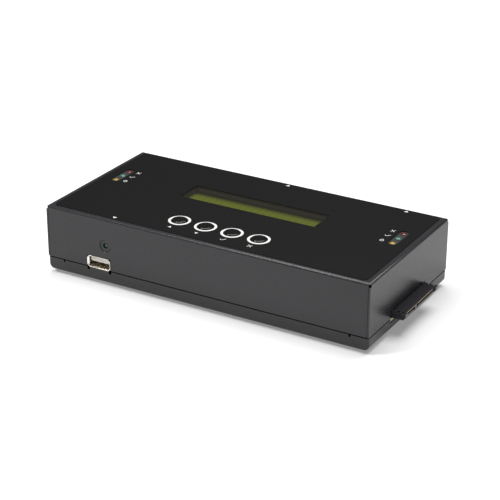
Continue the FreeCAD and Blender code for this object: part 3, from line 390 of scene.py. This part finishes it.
bm = bmesh.new()
for side, toward in (("left", 1), ("right", -1)):
    spots = [middle(f"{light}_light_{side}") / MM for light in LIGHTS]
    x = spots[0].x + toward * SIGN_AWAY
    cross(bm, x, spots[0].y, SIGN_SIZE)
    tick(bm, x, spots[1].y, SIGN_SIZE)
    ring_with_stroke(bm, x, spots[2].y, SIGN_SIZE)
light_signs = new_piece("light_signs_print", from_bmesh("light_signs_print", bm), ink)
print("signs beside", len(LIGHTS) * 2, "lights")

# %% Print a pointer to each port on the panel's edges
POINTER_SIZE, POINTER_INSET = 1.25, 1.6
ASIDE = {"serial_shell": 0, "power_jack": 1.2, "usb_shell": 8}    # from the port's middle, in mm

bm = bmesh.new()
for node, shift in ASIDE.items():
    spot = middle(node) / MM
    toward = -1 if node == "usb_shell" else 1
    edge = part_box("graphic_overlay")[1 if toward > 0 else 0][1] / MM
    arrow(bm, spot.x + shift, edge - toward * POINTER_INSET, POINTER_SIZE, up=toward > 0)
pointers = new_piece("port_pointers_print", from_bmesh("port_pointers_print", bm), ink)
print("pointers:", len(ASIDE))

# %% [markdown]
# ## Display
# Under a clear acrylic pane lies a small reflective liquid-crystal display. Its polariser is
# yellow-green, and the unlit character cells show as slightly darker boxes in two rows. A
# black bezel and a foam gasket frame it, and their walls are what fills the far half of the
# window when it is seen from in front. The window is deep and narrow, so the display's far
# edge gets little light; that shade is painted into the polariser's colour, which darkens
# towards the far edge.

# %% Make the window pane
def fill(node, material):
    """Give a solid one material, on every slot it has."""
    data = NODES[node].data
    data.materials.clear()
    data.materials.append(material)
    for face in data.polygons:
        face.material_index = 0


# Cast acrylic is polished, so it mirrors the lamps, and handling leaves a faint uneven haze.
pane, tree, shader, place = new_material("clear_acrylic", "#3d3b35", 0.06, IOR=1.49, Alpha=0.26)
dust = add(tree, "ShaderNodeTexNoise", {"Vector": place, "Scale": 60.0, "Detail": 4.0})
haze = add(tree, "ShaderNodeMapRange", {0: dust.outputs["Fac"], 1: 0.3, 2: 0.8, 3: 0.04, 4: 0.12})
tree.links.new(haze.outputs[0], shader.inputs["Roughness"])
fill("display_window", pane)
print("pane:", pane.name)

# %% Make the display's glass
CELL_WIDTH, CELL_DEPTH = 3.7 * MM, 6.6 * MM
# The polariser's colour is darkened between these two depths as painted shade for the far edge
# under the window's lip.
PAINTED_SHADE_START, PAINTED_SHADE_END = 3.0 * MM, 8.5 * MM    # behind the glass's middle

# A laminated plastic polariser scatters a little, so it shows no sharp reflection.
liquid_crystal, tree, shader, place = new_material("yellow_green_polariser", "#8e9b2a", 0.25)
centre = middle("display_glass")
centred = add(tree, "ShaderNodeMapping", {"Vector": place, "Location": (-centre.x, -centre.y, 0)})
split = add(tree, "ShaderNodeSeparateXYZ", {0: centred.outputs[0]})


def cells(axis, pitch, share):
    """1 inside the cells along one axis, 0 between them."""
    step = add(tree, "ShaderNodeMath", {0: split.outputs[axis], 1: pitch}, operation="DIVIDE")
    part = add(tree, "ShaderNodeMath", {0: step.outputs[0]}, operation="FRACT")
    return add(tree, "ShaderNodeMath", {0: part.outputs[0], 1: share}, operation="LESS_THAN")


both = add(tree, "ShaderNodeMath", {0: cells(0, CELL_WIDTH, 0.8).outputs[0],
                                    1: cells(1, CELL_DEPTH, 0.86).outputs[0]},
           operation="MULTIPLY")
lcd = add(tree, "ShaderNodeMix", {0: both.outputs[0], 6: colour("#93a12b"),
                                  7: colour("#899628")}, data_type="RGBA")
# Painted shade: the colour falls smoothly to 0.15 of itself towards the display's far edge.
painted_shade = add(tree, "ShaderNodeMapRange", {0: split.outputs[1], 1: PAINTED_SHADE_START,
                                           2: PAINTED_SHADE_END, 3: 1.0, 4: 0.15},
              interpolation_type="SMOOTHSTEP")
lcd = add(tree, "ShaderNodeMix", {0: 1.0, 6: lcd.outputs[2], 7: painted_shade.outputs[0]},
          data_type="RGBA", blend_type="MULTIPLY")
tree.links.new(lcd.outputs[2], shader.inputs["Base Color"])
fill("display_glass", liquid_crystal)
print("cells of", round(CELL_WIDTH / MM, 1), "by", round(CELL_DEPTH / MM, 1), "mm")

# %% Make the display's frame
# Black oxide on stamped steel is dull and slightly gritty, browner than paint.
bezel_black, tree, shader, place = new_material("black_oxide_bezel_steel", "#403d33", 0.5)
grit = add(tree, "ShaderNodeTexNoise", {"Vector": place, "Scale": 1 / (0.4 * MM)})
bump = add(tree, "ShaderNodeBump", {"Height": grit.outputs["Fac"], "Strength": 0.2,
                                    "Distance": 0.03 * MM})
tree.links.new(bump.outputs[0], shader.inputs["Normal"])
fill("display_bezel", bezel_black)

# Die-cut foam has open edges full of small pits, so it looks matt from everywhere.
foam, tree, shader, place = new_material("closed_cell_foam", "#4e4a3d", 0.9)
pits = add(tree, "ShaderNodeTexVoronoi", {"Vector": place, "Scale": 1 / (0.6 * MM)})
bump = add(tree, "ShaderNodeBump", {"Height": pits.outputs["Distance"], "Strength": 0.5,
                                    "Distance": 0.1 * MM})
tree.links.new(bump.outputs[0], shader.inputs["Normal"])
fill("display_gasket", foam)

# A moulded light guide carries a print of small dots, which spreads the light evenly.
light_guide, tree, shader, place = new_material("acrylic_light_guide", "#b8c650", 0.3)
dots = add(tree, "ShaderNodeTexVoronoi", {"Vector": place, "Scale": 1 / (0.9 * MM)})
lit = add(tree, "ShaderNodeMix", {0: dots.outputs["Distance"], 6: colour("#c2d05c"),
                                  7: colour("#aebb48")}, data_type="RGBA")
tree.links.new(lit.outputs[2], shader.inputs["Base Color"])
fill("display_backlight", light_guide)
print("frame:", bezel_black.name, foam.name, light_guide.name)

# %% [markdown]
# ## Moulded plastics
# Keys are moulded ABS, polished on top. The sockets' black bodies are glass-filled nylon, a
# little rougher, with faint flow lines. The USB tongue is white. Each plastic is a dielectric
# with the usual index near 1.5, and what tells them apart is how rough they are. Their grain
# is that of a spark-eroded mould, drawn a few times coarser than it is, so that it shows.

# %% Make the plastics
def moulded(name, base, light, roughness, grain, depth):
    """A plastic whose mould's grain has that size and depth in mm, mottled in two colours."""
    material, tree, shader, place = new_material(name, base, roughness)
    skin = add(tree, "ShaderNodeTexNoise", {"Vector": place, "Scale": 1000 / grain,
                                            "Detail": 3.0})
    mottled = add(tree, "ShaderNodeMix", {0: skin.outputs["Fac"], 6: colour(base),
                                          7: colour(light)}, data_type="RGBA")
    tree.links.new(mottled.outputs[2], shader.inputs["Base Color"])
    gloss = add(tree, "ShaderNodeMapRange", {0: skin.outputs["Fac"], 1: 0.25, 2: 0.75,
                                             3: roughness * 0.85, 4: min(1, roughness * 1.2)})
    tree.links.new(gloss.outputs[0], shader.inputs["Roughness"])
    bump = add(tree, "ShaderNodeBump", {"Height": skin.outputs["Fac"], "Strength": 0.3,
                                        "Distance": depth * MM})
    tree.links.new(bump.outputs[0], shader.inputs["Normal"])
    return material


# Polished caps: nearly black, with a clear reflection that the skin only just breaks up.
key_abs = moulded("polished_black_abs", "#0f0f10", "#121213", 0.22, 1.5, 0.01)
# Glass fibres near the skin make it a dark grey with a broken gloss.
nylon = moulded("glass_filled_nylon", "#2e2e32", "#37373b", 0.30, 0.5, 0.03)
# Unfilled nylon is creamy white and waxy.
tongue_white = moulded("white_nylon", "#f0eee6", "#f8f6ee", 0.4, 0.8, 0.01)
# The tinted holder shows the grey of its moulded skin round each light.
holder_grey = moulded("smoke_grey_abs", "#202022", "#444447", 0.4, 0.8, 0.03)
# Acetal slides well, and is a warm opaque cream.
plunger_cream = moulded("cream_acetal", "#c4ba9e", "#cec4a8", 0.4, 0.8, 0.01)
# Transfer-moulded epoxy is finely matt.
epoxy_black = moulded("moulded_chip_epoxy", "#141415", "#19191a", 0.6, 0.3, 0.02)
# Rubber is the dullest of them all.
foot_rubber = moulded("black_rubber", "#151518", "#1a1a1d", 0.8, 0.6, 0.03)
print("plastics, shiniest first:", key_abs.name, nylon.name, holder_grey.name, epoxy_black.name,
      foot_rubber.name)

# %% [markdown]
# ## Metals
# The shells of the sockets are stamped steel plated with bright nickel, the contacts are
# gold-plated, and the standoffs are zinc-plated with a satin finish. A metal's colour is its
# reflection colour, so these are fully metallic and their roughness sets them apart.

# %% Make the metals
def plated(name, base, roughness, grain=0.7):
    """A metal whose gloss changes slightly over patches of that size in mm."""
    material, tree, shader, place = new_material(name, base, roughness, Metallic=1.0)
    streak = add(tree, "ShaderNodeTexNoise", {"Vector": place, "Scale": 1000 / grain,
                                              "Detail": 2.0})
    gloss = add(tree, "ShaderNodeMapRange", {0: streak.outputs["Fac"], 1: 0.3, 2: 0.7,
                                             3: roughness * 0.7, 4: roughness * 1.3})
    tree.links.new(gloss.outputs[0], shader.inputs["Roughness"])
    return material


# Bright nickel is almost a mirror, a little warmer than silver.
nickel = plated("bright_nickel_plate", "#f2eee4", 0.22)
# Thin gold over nickel gives a soft yellow shine.
gold = plated("gold_plated_contact", "#d9b25a", 0.28)
# Barrel-plated zinc is a bluish satin grey.
zinc = plated("zinc_plated_steel", "#b9babb", 0.34)
# Black passivation turns the same zinc nearly black, and it stays satin.
black_zinc = plated("black_zinc_screw", "#3a3a3d", 0.38)
# Drawing leaves an aluminium can with a soft even sheen.
bright_aluminium = plated("drawn_aluminium_can", "#c4c5c7", 0.3)
print("metals:", nickel.name, gold.name, zinc.name, black_zinc.name, bright_aluminium.name)

# %% [markdown]
# ## Circuit boards
# A board is glass-fibre laminate with a green solder mask on both faces. The mask stops at
# the sawn edge, where the cream laminate shows, so the colour is chosen by which way the
# surface faces.

# %% Make the board finish
WEAVE = 0.5 * MM
UPRIGHT = 0.5                           # a surface is an edge if its normal rises less

board_green, tree, shader, place = new_material("solder_mask_on_laminate", "#1c4a2a", 0.35)
facing = add(tree, "ShaderNodeNewGeometry")
heading = add(tree, "ShaderNodeSeparateXYZ", {0: facing.outputs["Normal"]})
level = add(tree, "ShaderNodeMath", {0: heading.outputs[2]}, operation="ABSOLUTE")
sawn = add(tree, "ShaderNodeMath", {0: level.outputs[0], 1: UPRIGHT}, operation="LESS_THAN")
weave = add(tree, "ShaderNodeTexNoise", {"Vector": place, "Scale": 1 / WEAVE})
laminate = add(tree, "ShaderNodeMix", {0: weave.outputs["Fac"], 6: colour("#b9ab76"),
                                       7: colour("#d6cb9c")}, data_type="RGBA")
mask = add(tree, "ShaderNodeMix", {0: sawn.outputs[0], 6: colour("#1c4a2a"),
                                   7: laminate.outputs[2]}, data_type="RGBA")
tree.links.new(mask.outputs[2], shader.inputs["Base Color"])
BOARDS = ("main_board", "panel_board", "display_board")
for node in BOARDS:
    fill(node, board_green)
print("boards:", len(BOARDS))

# %% [markdown]
# ## Keys
# Each cap is turned: a flat top with a shallow dish, a small rounded rim and a straight wall
# that goes down through the cover. A half profile is spun about the key's axis, and the cap
# rides on the key's own body, so that it moves when the key is pressed.

# %% Spin a profile into a closed shape
TOUCHING = 1e-6


def spun(bm, profile, steps=48):
    """Turn a profile of (radius, height) points in mm about Z into a closed shape."""
    points = [bm.verts.new((r * MM, 0, z * MM)) for r, z in profile]
    edges = [bm.edges.new(pair) for pair in zip(points, points[1:])]
    bmesh.ops.spin(bm, geom=points + edges, cent=(0, 0, 0), axis=(0, 0, 1),
                   angle=2 * pi, steps=steps, use_merge=True, use_duplicate=False)
    bmesh.ops.remove_doubles(bm, verts=bm.verts, dist=TOUCHING)
    bmesh.ops.recalc_face_normals(bm, faces=bm.faces)


# %% Turn the key caps
DISH = ((0, 0.10), (2.0, 0.08), (3.2, 0.02))    # radius, and depth below the rim, in mm
RIM_ROUND = 0.8

for key in KEYS:
    spot = middle("key_cap_" + key)
    low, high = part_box("key_cap_" + key)
    top, base = high[2] / MM, low[2] / MM
    rim = (high[0] - low[0]) / 2 / MM
    profile = [(r, top - depth) for r, depth in DISH] + [(rim - RIM_ROUND, top)]
    profile += [(rim - RIM_ROUND + RIM_ROUND * cos(radians(a)),
                 top - RIM_ROUND + RIM_ROUND * sin(radians(a))) for a in (75, 60, 45, 30, 15, 0)]
    profile += [(rim, base), (0, base)]
    bm = bmesh.new()
    spun(bm, profile, 64)
    bmesh.ops.translate(bm, verts=bm.verts, vec=(spot.x, spot.y, 0))
    mesh = from_bmesh("key_top_" + key, bm)
    cap = new_piece("key_top_" + key, mesh, key_abs, "key_" + key)
    shaded(mesh)
    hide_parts("key_cap_" + key)
    fill("key_plunger_" + key, plunger_cream)
    fill("switch_" + key, epoxy_black)
print("faces in a key cap:", len(mesh.polygons))

# %% [markdown]
# ## Lights
# Each status light is a clear lens in its own colour, cast in epoxy. Its shallow round top
# stands just out of a smoke-grey holder, and the one in the front wall points forward. Part of
# the light goes into the lens and scatters, so it takes a little transmission, and its smooth
# skin gives a sharp highlight.

# %% Make the lenses' finish
TINT_SIZE = 0.8 * MM


def lens(name, base):
    """Tinted clear epoxy, a little brighter where the light comes through."""
    material, tree, shader, place = new_material(name, base, 0.12, IOR=1.54)
    shader.inputs["Transmission Weight"].default_value = 0.25
    depth = add(tree, "ShaderNodeTexNoise", {"Vector": place, "Scale": 1 / TINT_SIZE})
    mottled = add(tree, "ShaderNodeMix", {0: depth.outputs["Fac"], 6: colour(base),
                                          7: [min(1.0, c * 1.25) for c in colour(base)]},
                  data_type="RGBA")
    tree.links.new(mottled.outputs[2], shader.inputs["Base Color"])
    return material


LENSES = {"fault": (lens("red_epoxy_lens", "#6e1d22"), "red_lens"),
          "pass": (lens("green_epoxy_lens", "#4a8870"), "green_lens"),
          "power": (lens("amber_epoxy_lens", "#a88e2e"), "amber_lens")}
clear_green = lens("clear_green_epoxy_lens", "#35634c")
print("lenses:", list(LENSES))

# %% Turn the lenses and dress their holders
STATUS_DOME, ACTIVITY_DOME = 0.45, 1.3  # heights in mm
DOME_RINGS = 8


def dome(node, material, rise, forward=False):
    """A smooth lens over a light's solid: a round top of that height in mm on a short barrel."""
    low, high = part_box(node)
    spot = middle(node)
    radius = (high[0] - low[0]) / 2 / MM
    tip, foot = (-low[1] / MM, -high[1] / MM) if forward else (high[2] / MM, low[2] / MM)
    ball = (radius ** 2 + rise ** 2) / (2 * rise)
    outs = [radius * step / DOME_RINGS for step in range(DOME_RINGS + 1)]
    profile = [(out, tip - ball + (ball ** 2 - out ** 2) ** 0.5) for out in outs]
    bm = bmesh.new()
    spun(bm, profile + [(radius, foot), (0, foot)], 40)
    if forward:
        bmesh.ops.rotate(bm, verts=bm.verts, cent=(0, 0, 0),
                         matrix=Matrix.Rotation(pi / 2, 3, "X"))
    move = (spot.x, 0, spot.z) if forward else (spot.x, spot.y, 0)
    bmesh.ops.translate(bm, verts=bm.verts, vec=move)
    mesh = from_bmesh(node + "_lens", bm)
    piece = new_piece(node + "_lens", mesh, material)
    shaded(mesh)
    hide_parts(node)


for side in ("left", "right"):
    for light, (material, slot) in LENSES.items():
        dome(f"{light}_light_{side}", material, STATUS_DOME)
    holder = smooth_copy("light_holder_" + side, "light_spacer_" + side, holder_grey)
dome("activity_light", clear_green, ACTIVITY_DOME, forward=True)
fill("activity_light_holder", nylon)
print("dome heights in mm:", STATUS_DOME, ACTIVITY_DOME)

# %% [markdown]
# ## Sockets
# The stamped shells, the moulded drive sockets and the contacts keep their solids' shapes. The
# front socket's and the drive sockets' edges are softened by one or two tenths of a
# millimetre, because a sharp edge never catches the light and a real one always does.

# %% Dress the sockets
SOCKETS = (                             # solid, finish, softened edge in mm, slot
    ("usb_shell", nickel, 0.08, "connector_nickel"),
    ("usb_insulator", tongue_white, 0.12, "white_plastic"),
    ("serial_shell", nickel, 0.0, "connector_nickel"),
    ("serial_insulator", nylon, 0.0, "black_plastic"),
    ("power_jack", nylon, 0.0, "black_plastic"),
    ("drive_connector_left", nylon, 0.2, "black_plastic"),
    ("drive_connector_right", nylon, 0.2, "black_plastic"))

for node, material, edge, slot in SOCKETS:
    piece = smooth_copy(node, node + "_skin", material, edge=edge)
for node in ("usb_contacts", "drive_contacts_left", "drive_contacts_right", "power_jack_pin"):
    fill(node, gold)
pins = smooth_copy("serial_pins", "serial_pin_skins", gold, angle=65.0)
print("socket pieces:", len(SOCKETS) + 1)

# %% [markdown]
# ## Contact ends
# Each blade of a drive socket ends in the upper edge of its slot, where it shows as a short
# line of gold. These ends are too thin for the solids. A row of tiny boxes gives them, one for
# each blade: the blades' sides are read from the solid, and two of them make one blade.

# %% Show the ends of the drive contacts
AHEAD, UPWARD = 0.3 * MM, 0.06 * MM     # from the blades' ends and tops
END_LENGTH, END_HEIGHT = 0.06, 0.26     # in mm


def block(bm, spot, wide, deep, tall):
    """A box of those sizes in mm, round a spot in metres."""
    size = Matrix.Diagonal((wide * MM, deep * MM, tall * MM, 1))
    bmesh.ops.create_cube(bm, size=1.0, matrix=Matrix.Translation(spot) @ size)


for side, outward in (("left", -1), ("right", 1)):
    contacts = "drive_contacts_" + side
    low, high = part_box(contacts)
    face = (high[0] if outward > 0 else low[0]) + outward * AHEAD
    edges = sorted({round(corner.co.y / MM, 2) for corner in NODES[contacts].data.vertices})
    bm = bmesh.new()
    for near, far in zip(edges[::2], edges[1::2]):
        spot = Vector((face, (near + far) / 2 * MM, high[2] + UPWARD))
        block(bm, spot, END_LENGTH, far - near, END_HEIGHT)
    ends = new_piece("contact_ends_" + side, from_bmesh("contact_ends_" + side, bm), gold)
    print(side, "contacts:", len(edges) // 2)

# %% [markdown]
# ## Screws, feet and the boards' parts
# The standoffs beside the serial port are hexagonal and satin. The cover's screws have round
# heads with a cross recess, which is cut out of them for good. The feet are small rubber discs
# with a rounded edge. What lies inside the closed box gets its own finish too.

# %% Cut the cross into the cover's screws
RECESS_LENGTH, RECESS_WIDTH, RECESS_DEPTH = 3.0, 0.62, 1.0     # in mm


def carved(piece, tool_mesh):
    """Cut a tool's shape out of a piece for good, and take the tool away again."""
    tool = bpy.data.objects.new("tool", tool_mesh)
    bpy.context.scene.collection.objects.link(tool)
    cut = piece.modifiers.new("cut", "BOOLEAN")
    cut.object = tool
    cut.solver = "EXACT"
    cut.use_self = True
    seen = piece.evaluated_get(bpy.context.evaluated_depsgraph_get())
    mesh = bpy.data.meshes.new_from_object(seen)
    piece.modifiers.clear()
    piece.data = mesh
    bpy.data.objects.remove(tool)


piece = smooth_copy("serial_jackscrews", "serial_standoffs", zinc, edge=0.15)
screws = smooth_copy("cover_screws", "cover_screw_heads", black_zinc, edge=0.45, rows=4)
low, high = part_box("cover_screws")
head_radius = (high[2] - low[2]) / 2
bm = bmesh.new()
for x in (low[0] + head_radius, high[0] - head_radius):
    spot = Vector((x, high[1], low[2] + head_radius))
    block(bm, spot, RECESS_LENGTH, 2 * RECESS_DEPTH, RECESS_WIDTH)
    block(bm, spot, RECESS_WIDTH, 2 * RECESS_DEPTH, RECESS_LENGTH)
carved(screws, from_bmesh("driver_bit", bm))
print("faces in the carved screws:", len(screws.data.polygons))

# %% Dress the feet and what is inside
for node in ("foot_front_left", "foot_front_right", "foot_back_left", "foot_back_right"):
    piece = smooth_copy(node, node + "_pad", foot_rubber, edge=0.5, rows=3)
INSIDE = {"board_screws": zinc, "board_spacers": zinc, "panel_spacers": zinc,
          "display_spacers": zinc, "board_plug": epoxy_black, "display_header": epoxy_black,
          "controller_chip": epoxy_black, "power_inductor": epoxy_black,
          "power_capacitors": bright_aluminium}
for node, material in INSIDE.items():
    fill(node, material)
print("solids inside that got a finish:", len(INSIDE))

# %% [markdown]
# ## Floor and light
# The floor is plain and pale, and large enough to fill the view. Seen by the camera and in
# reflections it is lifted to white, while the object's shadow still shows on it. Two soft
# lamps and a faint white world light the object: a small lamp in front on the left draws the
# shadow and the shine along the bends, and a large one high up behind fills in evenly.

# %% Build the floor
FLOOR_GAP = 0.1 * MM                    # below the feet, so that nothing flickers
FLOOR_LIFT = 0.26

bm = bmesh.new()
bmesh.ops.create_grid(bm, x_segments=1, y_segments=1, size=4.0)
floor_mesh = from_bmesh("floor", bm)
floor = bpy.data.objects.new("floor", floor_mesh)
floor.location = (0, 0, START[0][2] - FLOOR_GAP)
bpy.context.scene.collection.objects.link(floor)
# Plain uncoated paper is fully matt.
paper, tree, shader, _ = new_material("white_paper", "#e6e6e6", 0.9, Specular_IOR_Level=0.0)
rays = add(tree, "ShaderNodeLightPath")
seen = add(tree, "ShaderNodeMath", {0: rays.outputs["Is Camera Ray"],
                                    1: rays.outputs["Is Glossy Ray"]}, operation="MAXIMUM")
seen = add(tree, "ShaderNodeMath", {0: seen.outputs[0],
                                    1: rays.outputs["Is Transmission Ray"]}, operation="MAXIMUM")
lift = add(tree, "ShaderNodeMath", {0: seen.outputs[0], 1: FLOOR_LIFT}, operation="MULTIPLY")
tree.links.new(lift.outputs[0], shader.inputs["Emission Strength"])
shader.inputs["Emission Color"].default_value = (1, 1, 1, 1)
floor_mesh.materials.append(paper)
print("floor at", round(floor.location.z / MM, 2), "mm")

# %% Light the scene
WORLD_STRENGTH = 0.06
LOOK_AT = Vector((0, 0, 0.02))

world = bpy.data.worlds.new("world")
bpy.context.scene.world = world
world.use_nodes = True
background = world.node_tree.nodes["Background"]
background.inputs["Color"].default_value = (1, 1, 1, 1)
background.inputs["Strength"].default_value = WORLD_STRENGTH


def softbox(name, spot, size, power):
    """A square lamp of that size and spot in metres that looks at the object."""
    data = bpy.data.lights.new(name, "AREA")
    data.size = size
    data.energy = power
    lamp = bpy.data.objects.new(name, data)
    lamp.location = spot
    lamp.rotation_euler = (LOOK_AT - Vector(spot)).to_track_quat("-Z", "Y").to_euler()
    bpy.context.scene.collection.objects.link(lamp)
    print(name, power, "W")


softbox("key_softbox", (-0.55, -0.585, 1.06), 0.25, 8.5)
softbox("overhead_softbox", (0.0, 0.5, 2.2), 2.0, 60.0)

# %% [markdown]
# ## Finish
# The picture is shown without any film-like curve.

# %% Finish
bpy.context.scene.view_settings.view_transform = "Standard"
